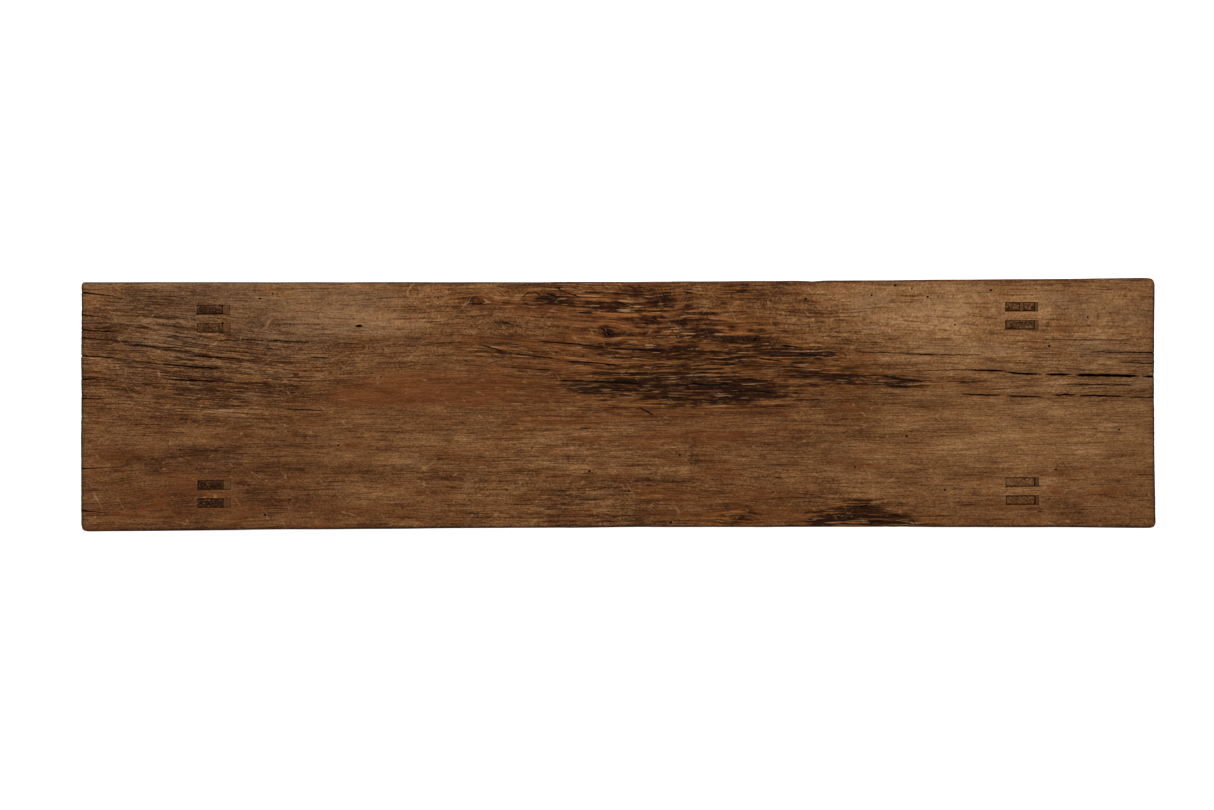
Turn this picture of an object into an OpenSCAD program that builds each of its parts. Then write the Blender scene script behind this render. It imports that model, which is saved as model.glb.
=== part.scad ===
// Backless plank bench: one thick plank on four splayed legs. Each leg ends in a pair of
// wedged through tenons, and its slotted head clasps a long apron with a spandrel below it.
// Millimetres. +X runs along the bench, -Y is the front, +Z is up.
// The origin is on the floor, under the middle of the bench.

/* [Seat] */
// Length of the seat plank
seat_length = 1500; // [1200:10:1800]
// Depth of the seat plank, front to rear
seat_depth = 350; // [310:5:420]
// Thickness of the seat plank
seat_thickness = 52; // [44:1:64]
// Height of the seat's top above the floor
seat_height = 490; // [440:5:540]
// Corner radius of the plank, seen from above
seat_corner = 9; // [6:1:20]
// Rounding of the plank's long and end arrises
seat_arris = 5; // [3:1:8]

/* [Legs] */
// Width of a leg along the bench
leg_width = 62; // [56:1:72]
// Depth of a leg across the bench
leg_depth = 50; // [44:1:56]
// Rounding of a leg's four arrises
leg_arris = 6; // [3:1:8]
// Distance from the plank's end to the centre of a leg's joint
leg_from_end = 187; // [160:1:230]
// Distance from the plank's long edge to the centre of a leg's joint
leg_from_edge = 53; // [46:1:70]
// Lean of the legs along the bench, in degrees
splay_along = 4; // [0:0.5:8]
// Lean of the legs across the bench, in degrees
splay_across = 4.5; // [0:0.5:8]
// Radius of the two grooves down each leg's outer face
bead_radius = 2.5; // [1:0.5:4]

/* [Seat joints] */
// Length of each mortise at the seat's top
mortise_length = 46; // [38:1:50]
// Thickness of each tenon
tenon_thickness = 13; // [10:0.5:15]
// Width of a wedge at the seat's top, in the left joints
wedge_width_left = 10; // [4:1:12]
// Width of a wedge at the seat's top, in the right joints
wedge_width_right = 5; // [4:1:12]
// How deep the wedges are driven
wedge_depth = 42; // [25:1:43]

/* [Aprons] */
// Thickness of the apron boards, which is also the gap between a leg's two tenons
apron_thickness = 12; // [10:0.5:14]
// Height of the apron strips
apron_height = 44; // [36:1:60]
// How far a strip runs past the centre of a joint
apron_overrun = 130; // [115:1:150]
// How far a spandrel hangs below the strip
spandrel_drop = 58; // [44:1:80]
// How far a spandrel stands out on each side of a leg
spandrel_reach = 44; // [30:1:60]
// Radius of the cove where a spandrel meets the strip
spandrel_cove = 18; // [8:1:24]
// Radius of a spandrel's lower corners
spandrel_corner = 22; // [10:1:30]

/* [Stretchers] */
// Thickness of the end stretchers
stretcher_thickness = 26; // [22:1:32]
// Height of a stretcher's section
stretcher_height = 36; // [30:1:44]
// Drop from the spandrels' lower edge to the middle of the upper stretchers
upper_stretcher_drop = 24; // [20:1:44]
// Height of the lower stretchers' centre above the floor
lower_stretcher_at = 196; // [120:1:230]

/* [Pegs] */
// Diameter of the pegs through the legs
peg_diameter = 7; // [5:0.5:8]
// Diameter of the pegs through the end aprons
apron_peg_diameter = 5; // [3:0.5:6]

/* [Hidden] */
$fn = 48;
ENDS = [-1, 1];
SIDES = [-1, 1];
ROWS = [-1, 1];
function end_name(end) = end < 0 ? "left" : "right";
function side_name(side) = side < 0 ? "front" : "rear";
function row_name(row) = row < 0 ? "inner" : "outer";
function corner_name(side, end) = str(side_name(side), "_", end_name(end));

// Joint centres on the seat's top plane, and planes that several parts share
joint_x = seat_length / 2 - leg_from_end;
joint_y = seat_depth / 2 - leg_from_edge;
underside = seat_height - seat_thickness;
strip_half_length = joint_x + apron_overrun;
strip_bottom = -(seat_thickness + apron_height);
slot_bottom = strip_bottom - spandrel_drop;
upper_stretcher_at = seat_height + slot_bottom * cos(splay_across) - upper_stretcher_drop;
stretcher_heights = [upper_stretcher_at, lower_stretcher_at];
reach_out = 6;        // how far cutting shapes run past a face
blank = 2 * seat_length; // size of the blocks that trim a part at a plane

// Joint details
tenon_row_offset = (apron_thickness + tenon_thickness) / 2;
wedge_tip = 1.5;
kerf_width = 6;
kerf_depth = 36;
stretcher_arris = 6;
stretcher_tenon_thickness = 12;
stretcher_tenon_height = 26;
tongue_thickness = 4;
tongue_height = 6;
peg_end_gap = 8;      // wood left between a blind peg's tip and the far face
apron_peg_length = 44;
end_lean = atan(tan(splay_along) / cos(splay_across));

elm = [0.42, 0.28, 0.17];
elm_dark = [0.36, 0.24, 0.15];
elm_pale = [0.52, 0.38, 0.24];
bamboo = [0.58, 0.45, 0.28];

function wedge_width(end) = end < 0 ? wedge_width_left : wedge_width_right;

// ---- Placing ----

// The leaning plane of one long side: X along the bench, Y outwards, Z up the lean
module side_frame(side) {
    mirror([0, side < 0 ? 1 : 0, 0])
        translate([0, joint_y, seat_height])
            rotate([splay_across, 0, 0])
                children();
}

// A leg's own frame: Z is the leg's axis, with its zero at the seat's top
module leg_frame(side, end) {
    side_frame(side)
        translate([end * joint_x, 0, 0])
            rotate([0, -end * splay_along, 0])
                children();
}

// The leaning plane that holds one end's front and rear legs
module end_frame(end) {
    translate([end * joint_x, 0, seat_height])
        rotate([0, -end * end_lean, 0])
            children();
}

module below(z) {
    translate([-blank / 2, -blank / 2, z - blank]) cube(blank);
}

module above(z) {
    translate([-blank / 2, -blank / 2, z]) cube(blank);
}

// Everything on the bench's inner side of both leaning planes, y_out away from them
module between_sides(y_out) {
    intersection_for (side = SIDES)
        side_frame(side)
            translate([-blank / 2, y_out - blank, -blank / 2]) cube(blank);
}

module box(size, at = [0, 0, 0]) {
    translate(at - size / 2) cube(size);
}

// ---- Outlines ----

module rounded_rectangle(width, height, radius) {
    square([width - 2 * radius, height], center = true);
    square([width, height - 2 * radius], center = true);
    for (x = [-1, 1], y = [-1, 1])
        translate([x * (width / 2 - radius), y * (height / 2 - radius)])
            circle(radius);
}

// A spandrel's face, hanging from y = 0, with its tongue above
module spandrel_outline() {
    half = leg_width / 2 + spandrel_reach;
    difference() {
        union() {
            translate([-half, -spandrel_drop + spandrel_corner])
                square([2 * half, spandrel_drop - spandrel_corner]);
            translate([-half + spandrel_corner, -spandrel_drop])
                square([2 * (half - spandrel_corner), spandrel_drop]);
            translate([-half - spandrel_cove, -spandrel_cove])
                square([2 * (half + spandrel_cove), spandrel_cove]);
            for (x = [-1, 1])
                translate([x * (half - spandrel_corner), -spandrel_drop + spandrel_corner])
                    circle(spandrel_corner);
        }
        for (x = [-1, 1])
            translate([x * (half + spandrel_cove), -spandrel_cove])
                circle(spandrel_cove);
    }
}

// ---- Seat joints ----

// The tenon's own length leaves room for the wedge at the mortise's right end
module tenon(end, row) {
    length = mortise_length - wedge_width(end);
    translate([-mortise_length / 2, row * tenon_row_offset - tenon_thickness / 2, -seat_thickness - reach_out])
        cube([length, tenon_thickness, seat_thickness + 2 * reach_out]);
}

// A wedge's side view, from its tip up past the seat's top
module wedge_outline(top_width, depth) {
    slope = (top_width - wedge_tip) / depth;
    polygon([
        [0, -depth],
        [wedge_tip, -depth],
        [top_width + slope * reach_out, reach_out],
        [0, reach_out]
    ]);
}

module wedge_blank(end, row) {
    translate([mortise_length / 2 - wedge_width(end), row * tenon_row_offset + tenon_thickness / 2, 0])
        rotate([90, 0, 0])
            linear_extrude(tenon_thickness)
                wedge_outline(wedge_width(end), wedge_depth);
}

module kerf_wedge_blank() {
    translate([-kerf_width / 2, tenon_row_offset + tenon_thickness / 2, 0])
        rotate([90, 0, 0])
            linear_extrude(tenon_thickness)
                wedge_outline(kerf_width, kerf_depth);
}

// ---- Pegs ----

// A peg from a leg's end-facing side, through the tenon of the stretcher at this height
module stretcher_peg(side, end, height) {
    z = -(seat_height - height) / (cos(splay_across) * cos(splay_along));
    length = leg_width - peg_end_gap;
    leg_frame(side, end)
        translate([end * (leg_width / 2 - length), 0, z])
            rotate([0, end * 90, 0])
                cylinder(d = peg_diameter, h = length);
}

// A peg from a leg's outer face, through the spandrel in its slot
module spandrel_peg(side, end) {
    z = strip_bottom - spandrel_drop / 2;
    length = leg_depth - peg_end_gap;
    leg_frame(side, end)
        translate([0, leg_depth / 2, z])
            rotate([90, 0, 0])
                cylinder(d = peg_diameter, h = length);
}

// A peg through an end apron into the end of a strip
module apron_peg(side, end) {
    z = -seat_thickness - apron_height / 2;
    side_frame(side)
        translate([end * (strip_half_length + apron_thickness - apron_peg_length), 0, z])
            rotate([0, end * 90, 0])
                cylinder(d = apron_peg_diameter, h = apron_peg_length);
}

// ---- Sub-parts ----

module seat_plank() {
    color(elm)
        difference() {
            intersection() {
                translate([0, 0, underside])
                    linear_extrude(seat_thickness)
                        rounded_rectangle(seat_length, seat_depth, seat_corner);
                translate([-seat_length / 2, 0, seat_height - seat_thickness / 2])
                    rotate([90, 0, 90])
                        linear_extrude(seat_length)
                            rounded_rectangle(seat_depth, seat_thickness, seat_arris);
                translate([0, seat_depth / 2, seat_height - seat_thickness / 2])
                    rotate([90, 0, 0])
                        linear_extrude(seat_depth)
                            rounded_rectangle(seat_length, seat_thickness, seat_arris);
            }
            for (side = SIDES, end = ENDS, row = ROWS)
                leg_frame(side, end) {
                    tenon(end, row);
                    wedge_blank(end, row);
                }
        }
}

module leg_shaft() {
    shaft_length = seat_height * 1.1;
    translate([0, 0, -shaft_length])
        linear_extrude(shaft_length)
            difference() {
                rounded_rectangle(leg_width, leg_depth, leg_arris);
                for (x = [-1, 1])
                    translate([x * (leg_width / 2 - leg_arris - bead_radius), leg_depth / 2])
                        circle(bead_radius);
            }
}

module leg_slot(side) {
    side_frame(side)
        translate([-seat_length, -apron_thickness / 2, slot_bottom])
            cube([2 * seat_length, apron_thickness, -slot_bottom + reach_out]);
}

module leg(side, end) {
    color(elm)
        difference() {
            union() {
                intersection() {
                    leg_frame(side, end) leg_shaft();
                    below(underside);
                    above(0);
                }
                intersection() {
                    leg_frame(side, end) for (row = ROWS) tenon(end, row);
                    below(seat_height);
                }
            }
            leg_slot(side);
            for (height = stretcher_heights) {
                stretcher_tenon(end, height);
                stretcher_peg(side, end, height);
            }
            spandrel_peg(side, end);
            if (side > 0 && end > 0)
                leg_frame(side, end) kerf_wedge_blank();
        }
}

module seat_wedge(side, end, row) {
    color(elm_pale)
        intersection() {
            leg_frame(side, end) wedge_blank(end, row);
            below(seat_height);
        }
}

module kerf_wedge() {
    color(elm_pale)
        intersection() {
            leg_frame(1, 1) kerf_wedge_blank();
            below(seat_height);
        }
}

// The strip stands in the slots of two legs, right under the plank
module apron_strip(side) {
    color(elm_dark)
        difference() {
            intersection() {
                side_frame(side)
                    translate([-strip_half_length, -apron_thickness / 2, strip_bottom])
                        cube([2 * strip_half_length, apron_thickness, apron_height + seat_thickness]);
                below(underside);
            }
            for (end = ENDS) {
                side_frame(side) spandrel_tongue(end);
                apron_peg(side, end);
            }
        }
}

// Where a spandrel stands along the strip: on the axis of its leg, at the strip's lower edge
function spandrel_x(end) = end * (joint_x - strip_bottom * tan(splay_along));

module spandrel_tongue(end) {
    box([2 * spandrel_reach + leg_width, tongue_thickness, 2 * tongue_height],
        [spandrel_x(end), 0, strip_bottom]);
}

module spandrel(side, end) {
    color(elm_dark)
        difference() {
            side_frame(side)
                union() {
                    translate([spandrel_x(end), apron_thickness / 2, strip_bottom])
                        rotate([90, 0, 0])
                            linear_extrude(apron_thickness)
                                spandrel_outline();
                    spandrel_tongue(end);
                }
            spandrel_peg(side, end);
        }
}

// Closes the gap between the two strips' ends
module end_apron(end) {
    color(elm_dark)
        difference() {
            intersection() {
                box([apron_thickness, seat_depth + leg_depth, apron_height],
                    [end * (strip_half_length + apron_thickness / 2), 0, underside - apron_height / 2]);
                between_sides(apron_thickness / 2);
            }
            for (side = SIDES) apron_peg(side, end);
        }
}

module stretcher_bar(end, height, thickness, bar_height, arris) {
    end_frame(end)
        translate([0, 0, -(seat_height - height) / cos(end_lean)])
            rotate([90, 0, 0])
                translate([0, 0, -seat_depth])
                    linear_extrude(2 * seat_depth)
                        rounded_rectangle(thickness, bar_height, arris);
}

module stretcher_tenon(end, height) {
    intersection() {
        end_frame(end)
            box([stretcher_tenon_thickness, 2 * seat_depth, stretcher_tenon_height],
                [0, 0, -(seat_height - height) / cos(end_lean)]);
        between_sides(leg_depth / 2);
    }
}

module stretcher(end, height) {
    color(elm)
        difference() {
            union() {
                intersection() {
                    stretcher_bar(end, height, stretcher_thickness, stretcher_height, stretcher_arris);
                    between_sides(-leg_depth / 2);
                }
                stretcher_tenon(end, height);
            }
            for (side = SIDES) stretcher_peg(side, end, height);
        }
}

module stretcher_pegs() {
    color(bamboo)
        for (side = SIDES, end = ENDS, height = stretcher_heights)
            stretcher_peg(side, end, height);
}

module spandrel_pegs() {
    color(bamboo) for (side = SIDES, end = ENDS) spandrel_peg(side, end);
}

module apron_pegs() {
    color(bamboo) for (side = SIDES, end = ENDS) apron_peg(side, end);
}

// ---- Drawing ----

seat_plank();
for (side = SIDES, end = ENDS)
    leg(side, end);
for (side = SIDES, end = ENDS, row = ROWS)
    seat_wedge(side, end, row);
kerf_wedge();  // kerf_wedge_rear_right
for (side = SIDES)
    apron_strip(side);
for (side = SIDES, end = ENDS)
    spandrel(side, end);
for (end = ENDS) {
    end_apron(end);
    stretcher(end, upper_stretcher_at);
    stretcher(end, lower_stretcher_at);
}
stretcher_pegs();
spandrel_pegs();
apron_pegs();
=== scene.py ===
"""Backless plank bench in old elm: its worn boards, wedged joints, finishes and stage."""

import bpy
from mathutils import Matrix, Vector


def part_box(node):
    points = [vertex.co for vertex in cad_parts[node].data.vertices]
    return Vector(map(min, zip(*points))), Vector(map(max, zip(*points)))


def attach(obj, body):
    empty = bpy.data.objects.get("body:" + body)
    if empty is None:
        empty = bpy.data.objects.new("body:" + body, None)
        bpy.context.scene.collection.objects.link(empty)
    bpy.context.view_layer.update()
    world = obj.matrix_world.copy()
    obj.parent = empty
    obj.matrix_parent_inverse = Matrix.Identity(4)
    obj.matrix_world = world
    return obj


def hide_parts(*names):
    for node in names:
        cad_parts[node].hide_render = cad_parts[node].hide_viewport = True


bl_info = {
    "name": "Plank bench in old elm",
    "version": (1, 0, 0),
    "blender": (4, 5, 0),
    "location": "3D View > Sidebar > Bench",
    "description": "Builds the worn boards and finishes of a backless plank bench",
    "category": "Add Mesh",
}

import math

import bmesh
import bpy
import numpy as np
from mathutils.geometry import delaunay_2d_cdt

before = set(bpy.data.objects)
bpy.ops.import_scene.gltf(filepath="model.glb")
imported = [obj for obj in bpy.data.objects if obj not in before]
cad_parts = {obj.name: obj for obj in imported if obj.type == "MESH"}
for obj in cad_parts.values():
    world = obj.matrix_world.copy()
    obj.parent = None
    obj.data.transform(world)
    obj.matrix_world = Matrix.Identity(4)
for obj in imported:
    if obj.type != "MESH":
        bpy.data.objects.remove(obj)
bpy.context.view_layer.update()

MM = 0.001
DRY_SHEEN = 0.08  # how strongly dry, waxed wood reflects
SHARP_EDGE = 0.45 * MM  # how far the points of a sharp edge stand out from those round them
CREASE = math.radians(38)  # faces that meet more sharply than this keep a hard edge
BODY = "root"
SEAT = "seat_plank"
seat_low, seat_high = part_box(SEAT)
SEAT_TOP = seat_high.z


def rgb(red, green, blue):
    """A colour given as it looks on screen, from 0 to 255, in the linear light that shaders use."""
    def linear(value):
        share = value / 255
        return share / 12.92 if share <= 0.04045 else ((share + 0.055) / 1.055) ** 2.4
    return tuple(linear(value) for value in (red, green, blue))


# ---- Sizes and colours that a user would change ----

def length(name, description, default, low=0.0, high=1.0):
    """A size in metres that a user would change."""
    return bpy.props.FloatProperty(name=name, description=description, default=default,
                                   min=low, max=high, unit="LENGTH", precision=4)


def colour(name, description, default):
    """A colour that a user would change."""
    return bpy.props.FloatVectorProperty(name=name, description=description, default=default,
                                         size=3, min=0.0, max=1.0, subtype="COLOR")


class BenchSeat(bpy.types.PropertyGroup):
    step_along: length("Step along", "Spacing of the seat's points along the grain", 6 * MM, MM)
    step_across: length("Step across", "Spacing of the top's points across the grain", 1.45 * MM, 0.5 * MM)
    arris: length("Arris", "Rounding of the seat's edges", 4.5 * MM, MM)
    waist_front: length("Front waist", "How far the front edge is worn in at mid length", 3.6 * MM)
    waist_rear: length("Rear waist", "How far the rear edge is worn in at mid length", 2.4 * MM)
    grain_relief: length("Grain relief", "Height of the raised grain where the top is weathered", 0.9 * MM)
    hollows: length("Hollows", "Depth of the broad hollows worn into the top", 0.5 * MM)
    furrows: length("Furrows", "Depth of the furrows in the charred patch", 1.6 * MM)
    edge_wear: length("Edge wear", "How far wear has taken off the edges", 0.8 * MM)


class BenchTimber(bpy.types.PropertyGroup):
    voxel: length("Point spacing", "Spacing of the points on legs and rails", 2.0 * MM, MM)
    fine_voxel: length("Fine spacing", "Spacing of the points on wedges and pegs", 0.9 * MM, 0.4 * MM)
    grain_relief: length("Grain relief", "Height of the raised grain on legs and rails", 0.25 * MM)
    hollows: length("Hollows", "Depth of tool marks and dents", 0.7 * MM)
    edge_wear: length("Edge wear", "How far wear has taken off the edges", 1.3 * MM)


class BenchColours(bpy.types.PropertyGroup):
    deep: colour("Deep", "Darkest streaks of the grain", rgb(47, 21, 6))
    dark: colour("Dark", "Dark grain", rgb(76, 43, 19))
    middle: colour("Middle", "The wood's usual colour", rgb(112, 72, 39))
    light: colour("Light", "Light grain", rgb(142, 98, 58))
    pale: colour("Pale", "Palest fibres", rgb(178, 134, 90))
    russet: colour("Russet", "Reddish patches", rgb(116, 63, 27))
    ash: colour("Ash", "Greyed, dry patches", rgb(140, 106, 75))
    char: colour("Char", "Charred and rotted streaks", rgb(29, 11, 3))
    ember: colour("Ember", "Sound fibres between charred streaks", rgb(158, 98, 46))
    # Painted shadow: the near-black colour put on the walls of cracks and holes, where shade falls
    crack_shadow: colour("Crack", "The inside of cracks", rgb(15, 9, 6))
    wedge: colour("Wedge", "Split wedges", rgb(114, 79, 48))
    bamboo: colour("Bamboo", "Pegs", rgb(136, 102, 62))


class BenchStage(bpy.types.PropertyGroup):
    camera_height: length("Camera height", "Height of the camera over the seat", 4.0, 0.5, 20.0)
    view_width: length("View width", "Width of the view at the seat's top", 1.691, 0.5, 20.0)
    camera_offset: length("Camera offset", "Camera's place along the bench", -15.2 * MM, -1.0, 1.0)
    roll: bpy.props.FloatProperty(name="Roll", description="Turn of the camera about its own axis",
                                  default=math.radians(-0.21), subtype="ANGLE")
    sky: bpy.props.FloatProperty(name="Sky", description="Strength of the even light", default=0.385)
    lamp: bpy.props.FloatProperty(name="Lamp", description="Power of the softbox", default=54.0,
                                  subtype="POWER")
    floor: colour("Floor", "The floor's colour", (0.60, 0.60, 0.60))


# ---- Node trees written as sums ----

class Wire:
    """One output socket. Arithmetic on it adds Math nodes to its tree."""

    def __init__(self, tree, socket):
        self.tree, self.socket = tree, socket

    def maths(self, operation, *values):
        """A Math node on these values, or on this wire alone."""
        return add(self.tree, "ShaderNodeMath", {"operation": operation}, dict(enumerate(values or (self,))))

    def __add__(self, other):
        return self.maths("ADD", self, other)

    def __sub__(self, other):
        return self.maths("SUBTRACT", self, other)

    def __rsub__(self, other):
        return self.maths("SUBTRACT", other, self)

    def __mul__(self, other):
        return self.maths("MULTIPLY", self, other)

    def __pow__(self, other):
        return self.maths("POWER", self, other)

    __radd__ = __add__
    __rmul__ = __mul__

    def least(self, other):
        return self.maths("MINIMUM", self, other)

    def most(self, other):
        return self.maths("MAXIMUM", self, other)

    def step(self, low, high):
        """A smooth step from 0 at low to 1 at high."""
        return add(self.tree, "ShaderNodeMapRange", {"interpolation_type": "SMOOTHSTEP"},
                   {"Value": self, "From Min": low, "From Max": high})


def add(tree, kind, settings=None, sockets=None, output=None):
    """Adds a node: its settings first, then its sockets' values or wires. Returns one output as a wire."""
    node = tree.nodes.new(kind)
    for name, value in (settings or {}).items():
        if name == "stops":
            set_stops(node.color_ramp, value)
        else:
            setattr(node, name, value)
    for key, value in (sockets or {}).items():
        socket = node.inputs[key] if isinstance(key, int) else named(node.inputs, key)
        if isinstance(value, Wire):
            tree.links.new(value.socket, socket)
        else:
            socket.default_value = value
    if not node.outputs:
        return node
    return Wire(tree, named(node.outputs, output))


def named(sockets, name):
    """The first socket in use with this name, or the first in use."""
    return next(s for s in sockets if s.enabled and name in (None, s.name))


def set_stops(ramp, stops):
    """Gives a colour ramp its positions and colours."""
    while len(ramp.elements) < len(stops):
        ramp.elements.new(1.0)
    for element, (position, value) in zip(ramp.elements, stops):
        element.position = position
        element.color = (*value, 1.0)


def mixed(share, first, second):
    """Two colours, mixed by a share."""
    def full(value):
        return value if isinstance(value, Wire) else (*value, 1.0)
    return add(share.tree, "ShaderNodeMix", {"data_type": "RGBA"},
               {"Factor": share, "A": full(first), "B": full(second)})


def parts(vector):
    """A vector's three numbers as wires."""
    node = add(vector.tree, "ShaderNodeSeparateXYZ", None, {0: vector}).socket.node
    return [Wire(vector.tree, socket) for socket in node.outputs]


def shifted(vector, along, across, through):
    """A vector with a wire or number added to each of its three numbers."""
    offset = add(vector.tree, "ShaderNodeCombineXYZ", None, {0: along, 1: across, 2: through})
    return add(vector.tree, "ShaderNodeVectorMath", {"operation": "ADD"}, {0: vector, 1: offset})


def noise(place, along, across, detail=2.0, roughness=0.55, shift=0.0):
    """Noise whose blots are about this long and this wide, from about 0.25 to 0.75."""
    scale = (1 / along, 1 / across, 1 / across)
    moved = add(place.tree, "ShaderNodeVectorMath", {"operation": "MULTIPLY_ADD"},
                {0: place, 1: scale, 2: (shift, 1.7 * shift, 2.3 * shift)})
    return add(place.tree, "ShaderNodeTexNoise", {"noise_dimensions": "3D"},
               {"Vector": moved, "Scale": 1.0, "Detail": detail, "Roughness": roughness})


# ---- Fields that the relief and the colour of old elm share ----
# place is measured from the tree's heart: along the grain, across it and through the board.

def along_the_grain(place):
    """place, bent so that straight lines on it wander as the grain does."""
    slow = noise(place, 0.30, 0.09, 1.0, shift=3.1) - 0.5
    quick = noise(place, 0.055, 0.020, 1.0, shift=8.4) - 0.5
    wander = slow * (16 * MM) + quick * (3 * MM)
    return shifted(place, 0.0, wander, wander * 0.7)


def growth_lines(bent):
    """Hard and soft wood in turn, as waves round the heart, from 0 in the soft to 1 in the hard."""
    _, across, through = parts(bent)
    radius = (across * across + through * through) ** 0.5
    uneven = noise(bent, 0.25, 0.014, 2.0, shift=5.5)
    return (radius * (2 * math.pi / (5.2 * MM)) + uneven * 9.0).maths("SINE") * 0.5 + 0.5


def torn_streaks(bent):
    """Ragged streaks and clots with full contrast, for charred and rotted wood."""
    broad = noise(bent, 0.085, 9.0 * MM, 3.0, 0.6, shift=1.3)
    thin = noise(bent, 0.075, 2.2 * MM, 3.0, 0.6, shift=6.6)
    clots = noise(bent, 0.014, 6.5 * MM, 3.0, 0.65, shift=17.7)
    return (broad * 0.42 + thin * 0.34 + clots * 0.24 - 0.5) * 3.6 + 0.5


def split_lines(bent):
    """Fine dark lines where dry wood has opened along its grain."""
    first = (noise(bent, 0.20, 9.0 * MM, 1.0, 0.4, shift=15.0) - 0.5).maths("ABSOLUTE")
    second = (noise(bent, 0.14, 6.0 * MM, 1.0, 0.4, shift=25.0) - 0.5).maths("ABSOLUTE")
    broken = noise(bent, 0.055, 6.0 * MM, 2.0, shift=33.0)
    return (first.step(0.034, 0.010) * broken.step(0.38, 0.48)).most(
        second.step(0.034, 0.010) * broken.step(0.60, 0.50) * 0.85)


def scratches(place, turn, shift, amount=0.0):
    """Short thin lines in one direction, here and there. A share of 1 for amount brings many more."""
    turned_place = add(place.tree, "ShaderNodeVectorRotate", {"rotation_type": "Z_AXIS"},
                       {"Vector": place, "Angle": math.radians(turn)})
    fold = (noise(turned_place, 0.060, 6.0 * MM, 0.0, shift=shift) - 0.5).maths("ABSOLUTE")
    where = (noise(turned_place, 0.022, 0.010, 1.0, shift=shift + 3.7) + amount * 0.12).step(0.58, 0.63)
    return fold.step(0.016, 0.006) * where


# ---- Weathering, as geometry nodes ----

def start_tree(name, takes, gives):
    """A geometry tree with these inputs and one output. Returns it with its inputs as wires."""
    tree = bpy.data.node_groups.new(name, "GeometryNodeTree")
    for label, kind, default in takes:
        socket = tree.interface.new_socket(name=label, in_out="INPUT", socket_type="NodeSocket" + kind)
        if default is not None:
            socket.default_value = default
    tree.interface.new_socket(name=gives, in_out="OUTPUT", socket_type="NodeSocketGeometry")
    group_in = tree.nodes.new("NodeGroupInput")
    return tree, {socket.name: Wire(tree, socket) for socket in group_in.outputs if socket.name}


def end_tree(tree, geometry, finish):
    """Ends a tree with plain geometry that has its finish on."""
    whole = add(tree, "GeometryNodeRealizeInstances", None, {"Geometry": geometry})
    finished = add(tree, "GeometryNodeSetMaterial", None, {"Geometry": whole, "Material": finish})
    tree.links.new(finished.socket, tree.nodes.new("NodeGroupOutput").inputs[0])
    return tree


def stored(tree, name, kind="FLOAT"):
    """What store() kept on the board's points."""
    return add(tree, "GeometryNodeInputNamedAttribute", {"data_type": kind}, {"Name": name}, "Attribute")


def blurred(tree, vector, times):
    """A vector averaged over each point's neighbours, a number of times."""
    return add(tree, "GeometryNodeBlurAttribute", {"data_type": "FLOAT_VECTOR"},
               {"Value": vector, "Iterations": times})


def how_convex(tree, normal, reach):
    """How far a point stands out from those round it: about 1 on a sharp edge, -1 in a sharp corner."""
    position = add(tree, "GeometryNodeInputPosition")
    stands_out = add(tree, "ShaderNodeVectorMath", {"operation": "SUBTRACT"},
                     {0: position, 1: blurred(tree, position, reach)})
    height = add(tree, "ShaderNodeVectorMath", {"operation": "DOT_PRODUCT"},
                 {0: stands_out, 1: normal}, "Value")
    return height * (1 / SHARP_EDGE)


def depth_of_wear(tree, given, edge):
    """How far each point is worn in."""
    place = stored(tree, "grain_place", "FLOAT_VECTOR")
    _, _, burn = parts(stored(tree, "stain", "FLOAT_VECTOR"))
    raised, wear = stored(tree, "raised"), stored(tree, "wear")
    bent = along_the_grain(place)
    soft = 1.0 - growth_lines(bent)
    furrow = (burn + torn_streaks(bent) - 1.0).step(-0.25, 0.25)
    rubbing = noise(place, 0.05, 0.02, 2.0, shift=2.2)
    hollow = noise(place, 0.22, 0.07, 1.0, shift=7.7).step(0.35, 0.7)
    dents = noise(place, 0.03, 0.018, 1.0, shift=4.4).step(0.55, 0.75)
    return (
        soft * (raised * 0.85 + 0.15) * given["Grain relief"]
        + (hollow * 0.8 + dents * 0.2) * given["Hollows"]
        + furrow * given["Furrows"] * burn.least(1.0)
        + split_lines(bent) * raised * given["Grain relief"] * 0.8
        + edge * (rubbing.step(0.3, 0.7) * 0.6 + 0.4) * wear * given["Edge wear"]
    )


def weathering_tree():
    """Wears a board inwards: raised grain, furrows, hollows and rubbed edges."""
    tree, given = start_tree("Old board", [
        ("Board", "Geometry", None), ("Grain relief", "Float", 0.25 * MM), ("Hollows", "Float", 0.7 * MM),
        ("Furrows", "Float", 0.0), ("Edge wear", "Float", 1.3 * MM), ("Edge reach", "Int", 3),
        ("Finish", "Material", None)], "Board")
    normal = add(tree, "GeometryNodeInputNormal", None, None, "Normal")
    convex = how_convex(tree, normal, given["Edge reach"])
    depth = depth_of_wear(tree, given, convex.step(0.1, 1.0))
    offset = add(tree, "ShaderNodeVectorMath", {"operation": "SCALE"},
                 {0: blurred(tree, normal, 3), "Scale": depth * -1.0})
    worn = add(tree, "GeometryNodeSetPosition", None, {"Geometry": given["Board"], "Offset": offset})
    kept = add(tree, "GeometryNodeStoreNamedAttribute", {"data_type": "FLOAT", "domain": "POINT"},
               {"Geometry": worn, "Name": "edge", "Value": convex})
    return end_tree(tree, kept, given["Finish"])


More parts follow.
